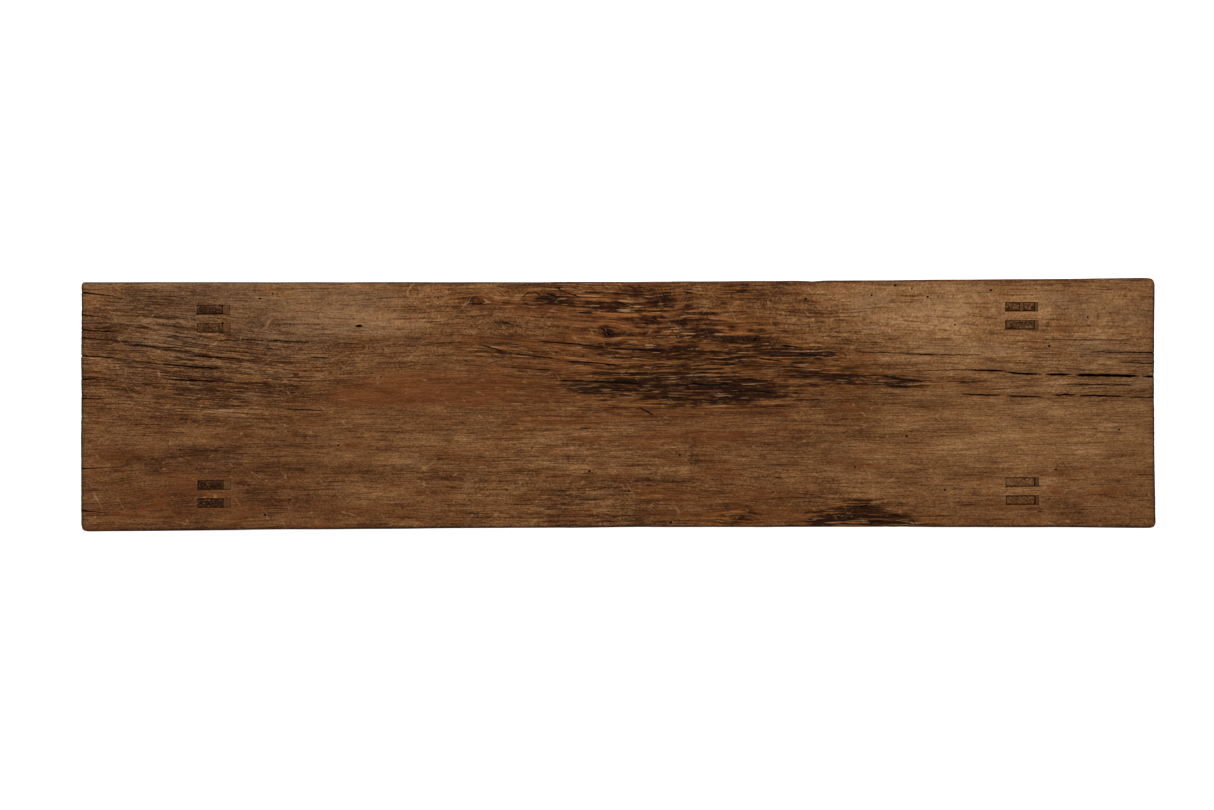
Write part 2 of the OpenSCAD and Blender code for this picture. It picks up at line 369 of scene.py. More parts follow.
def worm_hole_tree():
    """A tapered plug of random width at each point, for cutting worm holes and nail holes."""
    tree, given = start_tree("Worm holes", [
        ("Places", "Geometry", None), ("Radius", "Float", 1.0 * MM), ("Depth", "Float", 6 * MM),
        ("Finish", "Material", None)], "Holes")
    plug = add(tree, "GeometryNodeMeshCone", None,
               {"Vertices": 10, "Radius Top": given["Radius"] * 1.1, "Radius Bottom": given["Radius"] * 0.7,
                "Depth": given["Depth"]}, "Mesh")
    points = add(tree, "GeometryNodeMeshToPoints", None, {"Mesh": given["Places"]})
    width = add(tree, "FunctionNodeRandomValue", {"data_type": "FLOAT"},
                {"Min": 0.7, "Max": 1.35, "Seed": 11})
    scale = add(tree, "ShaderNodeCombineXYZ", None, {0: width * 1.25, 1: width, 2: 1.0})
    plugs = add(tree, "GeometryNodeInstanceOnPoints", None,
                {"Points": points, "Instance": plug, "Scale": scale})
    return end_tree(tree, plugs, given["Finish"])


def tree_named(name, make):
    """The node tree with this name, made the first time that it is asked for."""
    return bpy.data.node_groups.get(name) or make()


def apply_tree(piece, tree, **amounts):
    """Runs a node tree on a piece and keeps the result as its plain mesh."""
    modifier = piece.modifiers.new(tree.name, "NODES")
    modifier.node_group = tree
    for item in tree.interface.items_tree:
        key = item.name.lower().replace(" ", "_")
        if item.in_out == "INPUT" and key in amounts:
            modifier[item.identifier] = amounts[key]
    keep_result(piece)


def keep_result(piece):
    """Turns a piece and its modifiers into a plain mesh."""
    bpy.context.view_layer.update()
    evaluated = piece.evaluated_get(bpy.context.evaluated_depsgraph_get())
    mesh = bpy.data.meshes.new_from_object(evaluated)
    piece.modifiers.clear()
    old, piece.data = piece.data, mesh
    bpy.data.meshes.remove(old)
    mesh.name = piece.name


# ---- Finishes ----

def finish_named(name, make):
    """The finish with this name, made the first time that it is asked for."""
    return bpy.data.materials.get(name) or make(name)


def start_finish(name):
    """A new finish with one shader on its output."""
    material = bpy.data.materials.new(name)
    material.use_nodes = True
    tree = material.node_tree
    tree.nodes.clear()
    shader = tree.nodes.new("ShaderNodeBsdfPrincipled")
    output = tree.nodes.new("ShaderNodeOutputMaterial")
    tree.links.new(shader.outputs["BSDF"], output.inputs["Surface"])
    return material, tree, shader


def attribute(tree, name, output="Vector"):
    """What store() kept on a piece's points, for its finish."""
    return add(tree, "ShaderNodeAttribute", {"attribute_name": name}, None, output)


def set_surface(tree, shader, base, roughness, height, strength=1.0):
    """Feeds the shader: its colour, its roughness and a bump whose height is in metres."""
    tree.links.new(base.socket, shader.inputs["Base Color"])
    tree.links.new(roughness.socket, shader.inputs["Roughness"])
    bump = add(tree, "ShaderNodeBump", None, {"Strength": strength, "Distance": 1.0, "Height": height})
    tree.links.new(bump.socket, shader.inputs["Normal"])
    shader.inputs["Specular IOR Level"].default_value = DRY_SHEEN


class OldElm:
    """What the finish reads at each point of old elm, and the marks that its colour and relief share."""

    def __init__(self, tree):
        self.place = attribute(tree, "grain_place")
        self.tone, self.warmth, self.burn = parts(attribute(tree, "stain"))
        self.raised, self.cut, self.end_grain, self.edge = (
            attribute(tree, name, "Fac") for name in ("raised", "cut", "end_grain", "edge"))
        self.bent = along_the_grain(self.place)
        self.lines = growth_lines(self.bent) - 0.5
        self.streaks = noise(self.bent, 0.075, 4.0 * MM, 2.0, 0.55, shift=2.9) - 0.5
        self.fibres = noise(self.bent, 0.014, 1.5 * MM, 2.0, 0.65, shift=9.2) - 0.5
        self.blotch = noise(self.place, 0.070, 0.030, 4.0, 0.55, shift=4.8) - 0.5
        self.speckle = noise(self.place, 2.6 * MM, 2.0 * MM, 1.0, shift=7.1) - 0.5
        self.threads = noise(self.bent, 0.055, 1.6 * MM, 1.0, shift=27.0).step(0.57, 0.64)
        self.pits = noise(self.place, 6.0 * MM, 2.8 * MM, 1.0, shift=5.2).step(0.66, 0.76)
        self.splits = split_lines(self.bent) * (self.raised * 1.7).least(1.0)
        self.heat = self.burn + torn_streaks(self.bent) - 1.0
        self.charred = self.heat.step(0.0, 0.20)
        self.scored = scratches(self.place, 52, 31.0, self.burn * 0.4).most(
            scratches(self.place, -38, 47.0)).most(scratches(self.place, 8, 63.0))
        self.scored_dark = scratches(self.place, 66, 83.0, self.burn).most(
            scratches(self.place, -55, 97.0, self.burn))
        self.rubbed = self.edge.step(0.3, 1.2) * noise(self.place, 0.03, 0.01, 2.0, shift=1.9).step(0.4, 0.65)


def grain_colour(elm, colours):
    """Streaked grain, with greyed and russet patches, pits and fine splits."""
    bands = noise(elm.bent, 0.30, 0.026, 2.0, shift=0.7) - 0.5
    uneven = bands * 0.6 + elm.streaks * (elm.burn * 0.3 + 0.32) + elm.blotch * 0.8
    fine = elm.fibres * (elm.raised * 0.8 + elm.burn * 0.8 + 0.60) + elm.speckle * (elm.burn * 0.5 + 0.85)
    lively = (elm.raised * 4.0).least(1.0) * 0.25 + 0.75
    shade = ((uneven + fine) * lively - elm.threads * (elm.raised * 0.40 + 0.20)
             + elm.lines * (elm.raised * 0.18) + elm.tone + 0.58)
    wood = add(shade.tree, "ShaderNodeValToRGB", {"stops": [
        (0.0, colours.deep), (0.26, colours.dark), (0.5, colours.middle),
        (0.74, colours.light), (1.0, colours.pale)]}, {"Fac": shade})
    hue = (noise(elm.bent, 0.080, 0.022, 4.0, 0.6, shift=12.3) - 0.5) * 2.0 + elm.warmth * 1.3
    wood = mixed(hue.step(0.0, 0.7) * 0.65, wood, colours.russet)
    wood = mixed(hue.step(-0.10, -0.70) * 0.6, wood, mixed(shade * 1.3, colours.deep, colours.ash))
    return mixed((elm.pits * 0.5).most(elm.splits * 0.9), wood, colours.deep)


def burnt_colour(elm, colours, wood):
    """The wood with golden fibres, smoke, coal and scraped slivers where it was burnt."""
    scorch = elm.burn.step(0.0, 0.6) * (1.0 - elm.end_grain)
    golden = mixed((elm.fibres + elm.streaks) * 2.4 + 0.5, colours.deep, colours.ember)
    wood = mixed(scorch * 0.55, wood, golden)
    wood = mixed(elm.heat.step(-0.32, 0.22) * 0.75, wood, colours.deep)
    coal = mixed(elm.speckle * 3.0 + elm.fibres * 2.5 + 0.35, colours.char, colours.deep)
    wood = mixed(elm.charred * 0.9, wood, coal)
    sliver = noise(elm.bent, 0.090, 1.9 * MM, 2.0, shift=21.0).step(0.56, 0.65) * scorch
    wood = mixed(sliver * (0.9 - elm.charred * 0.55), wood, colours.ember)
    scraped = noise(elm.bent, 0.032, 1.7 * MM, 1.0, shift=39.0).step(0.64, 0.70) * scorch
    return mixed(scraped * 0.8, wood, colours.pale)


def handled_colour(elm, colours, wood):
    """The wood with scratches, dark end grain, painted shade in sharp inward corners, rubbed edges and
    painted shadow in cracks.
    """
    wood = mixed(elm.scored * (0.4 - elm.burn * 0.15), wood, colours.pale)
    wood = mixed(elm.scored_dark * (elm.burn * 1.2 + 0.25).least(0.85), wood, colours.deep)
    sapwood = noise(elm.place, 1.0, 2.4 * MM, 3.0, 0.7, shift=3.3).step(0.36, 0.60)
    sawn = elm.end_grain.step(0.3, 0.9)
    wood = mixed(sawn * (0.95 - sapwood * 0.8), wood, colours.deep)
    flecks = (elm.speckle + elm.fibres * 0.5).step(0.07, 0.20) * sawn
    wood = mixed(flecks * 0.45, wood, colours.ash)
    # painted shade: darker in sharp inward corners
    wood = mixed(elm.edge.step(-0.15, -1.1) * 0.75, wood, colours.deep)
    wood = mixed(elm.rubbed * 0.35, wood, colours.light)
    # painted shadow inside cracks and holes
    return mixed(elm.cut.step(0.05, 0.8), wood, colours.crack_shadow)


def elm_relief(elm):
    """The height of the finest relief."""
    dings = noise(elm.place, 0.010, 0.007, 2.0, shift=55.0) - 0.5
    return (
        elm.fibres * (0.7 * MM) + elm.streaks * (0.8 * MM) + elm.speckle * (0.9 * MM)
        + elm.lines * elm.raised * (0.4 * MM) + elm.blotch * (3.0 * MM) + dings * (1.2 * MM)
        - elm.threads * (0.2 * MM) - elm.pits * (0.4 * MM) - elm.splits * (0.5 * MM)
        - elm.charred * (0.5 * MM) - (elm.scored + elm.scored_dark) * (0.15 * MM)
    )


def old_elm(name):
    """Old elm: streaked grain, greyed and russet patches, char, rubbed edges, and painted shade in inward
    corners and cracks.
    """
    colours = bpy.context.scene.bench_colours
    material, tree, shader = start_finish(name)
    elm = OldElm(tree)
    wood = handled_colour(elm, colours, burnt_colour(elm, colours, grain_colour(elm, colours)))
    roughness = 0.66 - elm.streaks * 0.5 + elm.charred * 0.1 - elm.rubbed * 0.1
    set_surface(tree, shader, wood, roughness, elm_relief(elm))
    return material


def split_wood(name, base, dark):
    """Split wedges and pegs: straight fibres, dry and a little dirty, with painted shade along their edges.
    """
    material, tree, shader = start_finish(name)
    place = attribute(tree, "grain_place")
    end_grain = attribute(tree, "end_grain", "Fac")
    edge = attribute(tree, "edge", "Fac")
    tone, _, dirt = parts(attribute(tree, "stain"))
    fibres = noise(place, 0.03, 0.9 * MM, 3.0, 0.65, shift=2.1)
    specks = noise(place, 0.0016, 0.0016, 2.0, 0.6, shift=6.3)
    shade = (fibres - 0.5) * (1.0 - end_grain) * 1.6 + (specks - 0.5) * 1.5 + tone
    wood = mixed((shade + 0.5).step(0.0, 1.0), dark, base)
    # painted shade: darker along the edges, where each wedge and peg meets its neighbours
    wood = mixed(edge.step(0.1, 1.0) * 0.5, wood, dark)
    wood = mixed((dirt + (specks - 0.5) * 0.8).step(0.1, 0.9), wood, dark)
    roughness = 0.7 - (specks - 0.5) * 0.3
    set_surface(tree, shader, wood, roughness, (fibres - 0.5) * (0.3 * MM) + (specks - 0.5) * (0.3 * MM))
    return material


def wedge_wood(name):
    """Dry wood split from the same elm."""
    colours = bpy.context.scene.bench_colours
    return split_wood(name, colours.wedge, colours.dark)


def peg_wood(name):
    """Bamboo, darkened with age."""
    colours = bpy.context.scene.bench_colours
    return split_wood(name, colours.bamboo, colours.dark)


FLOOR_GLOW = 0.85


def plain_floor(name):
    """A pale, matt floor that gives back a little light of its own."""
    stage = bpy.context.scene.bench_stage
    material, _, shader = start_finish(name)
    shader.inputs["Base Color"].default_value = (*stage.floor, 1.0)
    shader.inputs["Roughness"].default_value = 0.95
    shader.inputs["Emission Color"].default_value = (1.0, 1.0, 1.0, 1.0)
    shader.inputs["Emission Strength"].default_value = FLOOR_GLOW
    return material


# ---- Meshes ----

def link(name, mesh):
    """A new piece in the scene."""
    piece = bpy.data.objects.new(name, mesh)
    bpy.context.scene.collection.objects.link(piece)
    return piece


def mesh_of(name, points, faces):
    """A closed mesh whose faces all look outwards."""
    mesh = bpy.data.meshes.new(name)
    mesh.from_pydata([tuple(point) for point in points], [], faces)
    tidy = bmesh.new()
    tidy.from_mesh(mesh)
    bmesh.ops.recalc_face_normals(tidy, faces=tidy.faces)
    tidy.to_mesh(mesh)
    tidy.free()
    return mesh


def positions(mesh):
    """Where a mesh's points are, a row for each."""
    found = np.empty(len(mesh.vertices) * 3, np.float32)
    mesh.vertices.foreach_get("co", found)
    return found.reshape(-1, 3).astype(float)


def normals(mesh):
    """Which way a mesh's points face, a row for each."""
    found = np.empty(len(mesh.vertices) * 3, np.float32)
    mesh.vertex_normals.foreach_get("vector", found)
    return found.reshape(-1, 3).astype(float)


def store(mesh, name, values):
    """Keeps a number or a vector for each point of a mesh."""
    values = np.asarray(values, np.float32)
    kind, field = ("FLOAT_VECTOR", "vector") if values.ndim == 2 else ("FLOAT", "value")
    found = mesh.attributes.new(name, kind, "POINT")
    found.data.foreach_set(field, values.ravel())


def shade_smooth(mesh):
    """Smooth shading, with creases kept at cracks and corners."""
    mesh.polygons.foreach_set("use_smooth", [True] * len(mesh.polygons))
    mesh.set_sharp_from_angle(angle=CREASE)


def bump_of(value, centre, reach):
    """A smooth bump of 1 at centre that has faded at reach."""
    return np.exp(-2.0 * ((value - centre) / reach) ** 2)


def ramp_of(value, low, high):
    """A smooth step from 0 at low to 1 at high, either of which may be the larger."""
    share = np.clip((value - low) / (high - low), 0.0, 1.0)
    return share * share * (3 - 2 * share)


# ---- The seat ----

CORNERS = {("left", "rear"): 4 * MM, ("left", "front"): 9 * MM,
           ("right", "rear"): 9 * MM, ("right", "front"): 8 * MM}


def edge_lines(x):
    """The front and rear edges of the seat at x, worn in at mid length, with a nick at the rear."""
    shape = bpy.context.scene.bench_seat
    share = 1.0 - (x / seat_high.x) ** 2
    ripple = 0.125 * MM * (1 + np.sin(x * 23.0)) + 0.075 * MM * (1 + np.sin(x * 51.0 + 1.0))
    nick = 1.1 * MM * bump_of(x, 0.272, 0.012)
    front = seat_low.y + shape.waist_front * share + ripple
    rear = seat_high.y - shape.waist_rear * share - ripple - nick
    return front, rear


def corner_inset(depth_in, radius):
    """How far a rounded corner draws the edge in, at a distance in from the end."""
    if depth_in >= radius:
        return 0.0
    return radius - math.sqrt(radius ** 2 - (radius - depth_in) ** 2)


def section(front, rear, bottom, top, radius, across):
    """A closed loop round the seat: across the top to the front, down, back underneath and up the rear."""
    arc = [math.radians(angle) for angle in (18, 36, 54, 72)]
    sides, under = 14, 24
    loop = [(y, top) for y in np.linspace(rear - radius, front + radius, across)]
    loop += [(front + radius - radius * math.sin(a), top - radius + radius * math.cos(a)) for a in arc]
    loop += [(front, z) for z in np.linspace(top - radius, bottom + radius, sides)]
    loop += [(front + radius - radius * math.cos(a), bottom + radius - radius * math.sin(a)) for a in arc]
    loop += [(y, bottom) for y in np.linspace(front + radius, rear - radius, under)]
    loop += [(rear - radius + radius * math.sin(a), bottom + radius - radius * math.cos(a)) for a in arc]
    loop += [(rear, z) for z in np.linspace(bottom + radius, top - radius, sides)]
    loop += [(rear - radius + radius * math.cos(a), top - radius + radius * math.sin(a)) for a in arc]
    return loop


def end_shift(x, y):
    """How far a point moves along: the left end is out of square, and the right end a little hollow."""
    rearward = (y - seat_low.y) / (seat_high.y - seat_low.y)
    near_end = max(0.0, 1.0 - (seat_high.x - abs(x)) / (150 * MM))
    if x < 0:
        return near_end * (1.8 * MM * rearward)
    return -near_end * (1.5 * MM * (1.0 - (2 * rearward - 1) ** 2))


def seat_loft():
    """The plank before it is cut: loops round it from end to end, closed at both ends."""
    shape = bpy.context.scene.bench_seat
    radius = shape.arris
    half = seat_high.x
    quarter = [math.radians(angle) for angle in (0, 25, 50, 70, 90)]
    near_end = [radius * (1 - math.cos(a)) for a in quarter] + [radius + 2 * MM, radius + 5 * MM]
    inner = half - near_end[-1]
    middle = np.linspace(-inner, inner, round(2 * inner / shape.step_along))[1:-1]
    stations = [-half + d for d in near_end] + list(middle) + [half - d for d in reversed(near_end)]
    across = round((seat_high.y - seat_low.y) / shape.step_across)
    points, loops = [], []
    for x in stations:
        depth_in = half - abs(x)
        drop = corner_inset(depth_in, radius)
        end = "left" if x < 0 else "right"
        front, rear = edge_lines(x)
        front += corner_inset(depth_in, CORNERS[end, "front"])
        rear -= corner_inset(depth_in, CORNERS[end, "rear"])
        loop = section(front, rear, seat_low.z + drop, seat_high.z - drop, radius, across)
        loops.append(range(len(points), len(points) + len(loop)))
        points += [(x + end_shift(x, y), y, z) for y, z in loop]
    faces = []
    for first, second in zip(loops, loops[1:]):
        count = len(first)
        faces += [(first[i], first[(i + 1) % count], second[(i + 1) % count], second[i])
                  for i in range(count)]
    for loop in (loops[0], loops[-1]):
        close_end(points, faces, loop)
    return mesh_of(SEAT, points, faces)


def close_end(points, faces, loop):
    """Fills an end loop with triangles over a grid of points, so that the end can be worn too."""
    rim = [points[i] for i in loop]
    ys, zs = [p[1] for p in rim], [p[2] for p in rim]
    grid = [(y, z) for y in np.arange(min(ys) + 6 * MM, max(ys) - 4 * MM, 5 * MM)
            for z in np.arange(min(zs) + 5 * MM, max(zs) - 3 * MM, 4.5 * MM)]
    flat = [(p[1], p[2]) for p in rim] + grid
    edges = [(i, (i + 1) % len(rim)) for i in range(len(rim))]
    found, _, triangles, origins, _, _ = delaunay_2d_cdt(flat, edges, [], 1, 1e-7)
    x = rim[0][0] - end_shift(rim[0][0], rim[0][1])
    numbers = []
    for place, origin in zip(found, origins):
        if origin and origin[0] < len(rim):
            numbers.append(loop[origin[0]])
        else:
            numbers.append(len(points))
            points.append((x + end_shift(x, place[0]), place[0], place[1]))
    faces += [tuple(numbers[i] for i in triangle) for triangle in triangles]


def mortise_corners(z):
    """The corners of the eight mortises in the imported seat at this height, four for each."""
    found = positions(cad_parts[SEAT].data)
    x, y, height = abs(found.T)
    reach_along, reach_across, closeness = 0.66, 0.155, 1e-5
    inside = (abs(height - z) < closeness) & (x < reach_along) & (y < reach_across)
    corners = np.unique(np.round(found[inside], 5), axis=0)
    groups = {}
    for corner in corners:
        pair = abs(corner[1]) > np.median(abs(corners[:, 1]))
        groups.setdefault((corner[0] > 0, corner[1] > 0, bool(pair)), []).append(corner)
    return groups


def prism(points, faces, lower, upper):
    """Adds a closed prism between two loops with the same number of points."""
    count, start = len(lower), len(points)
    points += [tuple(p) for p in lower] + [tuple(p) for p in upper]
    faces += [(start + i, start + (i + 1) % count, start + count + (i + 1) % count, start + count + i)
              for i in range(count)]
    faces += [tuple(range(start, start + count)), tuple(range(start + count, start + 2 * count))]


def mortise_cutter():
    """Eight tapered prisms that run past both faces of the seat."""
    overrun = 0.15
    lower_groups, upper_groups = mortise_corners(seat_low.z), mortise_corners(seat_high.z)
    points, faces = [], []
    for key, lower in lower_groups.items():
        lower, upper = turned(lower), turned(upper_groups[key])
        rise = (upper - lower) * overrun
        prism(points, faces, lower - rise, upper + rise)
    return mesh_of("mortises", points, faces)


def turned(corners):
    """Corners in order round their middle."""
    corners = np.array(corners)
    middle = corners.mean(axis=0)
    return corners[np.argsort(np.arctan2(corners[:, 1] - middle[1], corners[:, 0] - middle[0]))]


# Cracks that run in from the ends: their route in millimetres from the seat's centre, width and depth
CRACKS = [
    ([(406, 45.5), (483, 47.5), (498, 47)], 0.8, 4), ([(486, 47), (512, 46.5), (541, 45.5)], 2.4, 14),
    ([(539, 44), (557, 42), (590, 40.5)], 2.5, 14), ([(596, 40.2), (612, 40.2), (631, 40)], 2.8, 16),
    ([(637, 39.6), (680, 38.6), (727, 37.5)], 3.7, 20), ([(730, 37.1), (760, 37)], 2.9, 9),
    ([(479, 13.5), (500, 12.2), (534, 11.5)], 1.8, 8), ([(541, 10.8), (565, 9.8), (592, 9)], 2, 10),
    ([(603, 12.2), (640, 11.8)], 2.6, 14), ([(643, 11), (665, 10.6), (706, 9.5)], 2.3, 14),
    ([(707, 8.6), (760, 7.5)], 1.4, 8), ([(395, 68.5), (450, 68), (508, 68)], 1, 4),
    ([(330, 72.8), (390, 71), (452, 68.2)], 1.3, 5), ([(592, 88.5), (660, 88.6), (715, 88)], 0.8, 4),
    ([(655, 71.5), (705, 71), (760, 69.8)], 1.6, 10), ([(698, 57), (760, 54.8)], 1.2, 10),
    ([(621, 27), (670, 26), (719, 24.5)], 1.3, 6), ([(596, -3.5), (641, -3.6)], 0.8, 3),
    ([(-760, 161), (-715, 156), (-693, 153)], 2.2, 12),
    ([(-760, 130), (-730, 126.5), (-706, 123)], 1.7, 10),
    ([(-760, 108), (-728, 106), (-697, 104)], 2.2, 12),
    ([(-760, 97.5), (-713, 93.5), (-680, 88.5)], 1.4, 8),
    ([(-672, 87), (-636, 82.5), (-600, 82)], 1.1, 5), ([(-760, 72), (-706, 68.5), (-640, 60)], 2.2, 12),
    ([(-634, 59), (-590, 55.5), (-551, 52.5)], 1.7, 6),
    ([(-760, 39.5), (-722, 38.2), (-693, 37)], 2, 10), ([(-623, 38), (-590, 36), (-556, 34)], 1.3, 4),
    ([(-760, 11), (-735, 11.4), (-713, 11.5)], 1.3, 8),
    ([(-604, 70.5), (-570, 69.5), (-526, 66)], 1.7, 6),
    ([(-563, 91.5), (-520, 92.5), (-494, 92)], 1.3, 4), ([(-488, 92), (-455, 90), (-429, 88)], 1.4, 5),
    ([(-394, 88), (-375, 87.4), (-361, 87)], 1.3, 4), ([(-433, 68.5), (-401, 67)], 1.7, 3),
    ([(-464, -4), (-440, -4.8), (-408, -6.5)], 1.4, 3),
    ([(-760, -87), (-720, -85), (-680, -84)], 1.7, 8),
    ([(-760, -143.5), (-730, -146), (-709, -148.5)], 1.8, 8), ([(-760, -22), (-734, -22.5)], 1.1, 8),
]

# Shallow gouges and torn fibres: route, width and depth in millimetres
GOUGES = [
    ([(-112, 89), (-60, 85), (-13, 79.5)], 2.8, 1.6), ([(-9, 79), (30, 77), (70, 75)], 2.2, 1.4),
    ([(-75, 61), (-30, 58.5), (5, 54.5)], 2.5, 1.6), ([(-220, 57.5), (-179, 54)], 1.2, 1),
    ([(-157, 53), (-90, 49)], 1.2, 1), ([(-86, 34.5), (-20, 32.5), (30, 29)], 2.8, 1.8),
    ([(25, -1.5), (54, -17)], 2.5, 1.6), ([(-194, 85), (-157, 74.5)], 2.6, 1.6),
    ([(-150, 72), (-83, 64.5)], 1.9, 1.2), ([(-209, 142), (-182, 140.5)], 2.5, 1.5),
    ([(-165, 117.5), (-150, 112.5)], 2.8, 1.5), ([(-5, 144), (15, 138.5)], 3, 1.6),
    ([(-60, 129), (-29, 127.5)], 3, 1.6), ([(-102, 157), (-80, 150)], 3.8, 1.8),
    ([(-76, 158), (-48, 149)], 2.2, 1.6), ([(-118, 160), (-104, 150)], 1.6, 1.2),
    ([(-135, 148), (-121, 160)], 1.6, 1.2), ([(10, 168), (34, 157)], 1.4, 1),
    ([(24, 169), (44, 158)], 1.4, 1), ([(40, 168), (52, 157)], 1.4, 1),
    ([(246, 70.5), (300, 66)], 2.8, 1.8), ([(223, 83), (256, 78.5)], 2.6, 1.6),
    ([(191, 65), (236, 59)], 2.1, 1.4), ([(116, 57), (190, 54), (265, 50.5)], 1.4, 1.2),
    ([(376, 36.5), (430, 30.5)], 2.8, 1.6), ([(376, 25), (410, 22)], 2, 1.4),
    ([(213, -105.5), (223, -101.5), (234, -107)], 1.4, 1.2), ([(583, -151), (592, -151)], 2.1, 1.6),
    ([(-460, -130.5), (-455, -130.5)], 2, 1.4), ([(-366, 111.2), (-355, 110.8)], 4.2, 6),
    ([(197, -132), (290, -128.5)], 1.2, 1), ([(-54, -32), (-40, -33)], 2, 1.2),
    ([(-168, 160), (-156, 151)], 1.5, 1), ([(-88, 166), (-70, 154)], 1.9, 1.2),
    ([(-66, 166), (-52, 160)], 1.5, 1), ([(-40, 167), (-28, 156)], 1.5, 1),
    ([(-22, 168), (-12, 160)], 1.4, 0.9), ([(-2, 168), (10, 157)], 1.5, 1),
    ([(60, 165), (66, 148)], 2, 1.2), ([(74, 160), (72, 142)], 2.1, 1.2),
    ([(90, 158), (112, 153)], 2, 1.2), ([(-30, 112), (-8, 96)], 1.9, 1.2),
    ([(-20, 92), (-4, 106)], 1.5, 1), ([(40, 128), (62, 112)], 1.5, 1),
    ([(78, 122), (96, 104)], 1.5, 1), ([(128, 132), (142, 118)], 1.4, 1),
    ([(150, 112), (168, 104)], 1.6, 1.2), ([(96, 30), (128, 27), (160, 29)], 2.5, 1.6),
    ([(150, 17), (190, 19), (226, 15)], 2.5, 1.6), ([(60, 12), (96, 9)], 2, 1.4),
    ([(302, -160), (318, -150)], 1.4, 1), ([(318, -162), (334, -154)], 1.4, 1),
    ([(330, -146), (352, -139)], 1.9, 1.2), ([(346, -166), (372, -163)], 2, 1.4),
    ([(610, -84), (618, -94)], 1.2, 0.6), ([(617, -80), (627, -93)], 1.2, 0.6),
    ([(625, -80), (634, -91)], 1.2, 0.6), ([(720, -62), (726, -55)], 1.4, 0.35),
    ([(727, -62), (733, -55)], 1.4, 0.35), ([(734, -61), (740, -54)], 1.4, 0.35),
]

# Worm holes and nail holes, in millimetres from the seat's centre
HOLES = [
    (-498, 150), (354, 151.5), (387, 165.5), (520, 158), (601, 80), (402, -45), (698, -37), (-301, -142.5),
    (-492, -151.5), (191, 91.5), (-550, 116), (73, -164), (410, 160), (432, 149), (262, 147), (-480, 157),
    (-610, -60), (-390, -55), (-155, -118), (-40, -92), (86, -70), (330, -88), (455, -120), (610, -92),
    (655, 120), (560, 60), (470, 110), (-250, 150), (-330, 40), (-660, -40), (-120, -60), (15, -120),
]


def blade_taper(route, along):
    """A cut's width along its route: full at mid length, and at the seat's end where it runs out there."""
    share = along / along[-1]
    starts_outside, ends_outside = abs(route[0, 0]) > 750, abs(route[-1, 0]) > 750
    end_share = 0.8 if starts_outside else min(0.3, 9.0 / along[-1])
    taper = np.ones(len(along))
    if not starts_outside:
        taper = np.minimum(taper, share / end_share)
    if not ends_outside:
        taper = np.minimum(taper, (1 - share) / end_share)
    return np.clip(taper, 0.15, 1.0)


def blade_rings(route, width, depth, chance):
    """Rings of four points along a cut: wide just above the seat's top, narrow at its bottom."""
    spacing, lift, top = 4.0, 1.5, SEAT_TOP / MM
    route = np.array(route, float)
    stretch = np.concatenate([[0], np.cumsum(np.hypot(*np.diff(route, axis=0).T))])
    count = max(4, round(stretch[-1] / spacing)) + 1
    along = np.linspace(0, stretch[-1], count)
    x = np.interp(along, stretch, route[:, 0])
    y = np.interp(along, stretch, route[:, 1]) + chance.normal(0, 0.22, count)
    taper = blade_taper(route, along) * chance.uniform(0.85, 1.1, count)
    half_width = width / 2 * taper
    down = depth * np.clip(taper, 0.25, 1.0)
    flare, foot = half_width * (1 + lift / down), half_width * 0.12
    above, below = np.full(count, top + lift), top - down
    corners = [(x, y - flare, above), (x, y + flare, above), (x, y + foot, below), (x, y - foot, below)]
    return np.array(corners).transpose(2, 0, 1)


def blade_cutter(name, routes, seed):
    """Ragged blades along the listed routes, closed at both ends."""
    chance = np.random.default_rng(seed)
    points, faces = [], []
    for route, width, depth in routes:
        rings = blade_rings(route, width, depth, chance)
        first, last = len(points), len(points) + 4 * (len(rings) - 1)
        points += rings.reshape(-1, 3).tolist()
        for ring in range(first, last, 4):
            faces += [(ring + k, ring + (k + 1) % 4, ring + 4 + (k + 1) % 4, ring + 4 + k) for k in range(4)]
        faces += [tuple(range(first, first + 4)), tuple(range(last, last + 4))]
    return mesh_of(name, np.array(points) * MM, faces)


def hole_cutter():
    """Plugs for the worm holes, made at their places by geometry nodes."""
    depth, radius, proud = 7 * MM, 1.4 * MM, 0.8 * MM
    mesh = bpy.data.meshes.new("holes")
    mesh.from_pydata([(x * MM, y * MM, SEAT_TOP - depth / 2 + proud) for x, y in HOLES], [], [])
    cutter = link("holes", mesh)
    apply_tree(cutter, tree_named("Worm holes", worm_hole_tree), radius=radius, depth=depth)
    return cutter


def cut_away(piece, cutter):
    """Takes a cutter's shape out of a piece, and removes the cutter."""
    modifier = piece.modifiers.new("cut", "BOOLEAN")
    modifier.operation, modifier.solver, modifier.object = "DIFFERENCE", "MANIFOLD", cutter
    keep_result(piece)
    bpy.data.objects.remove(cutter)


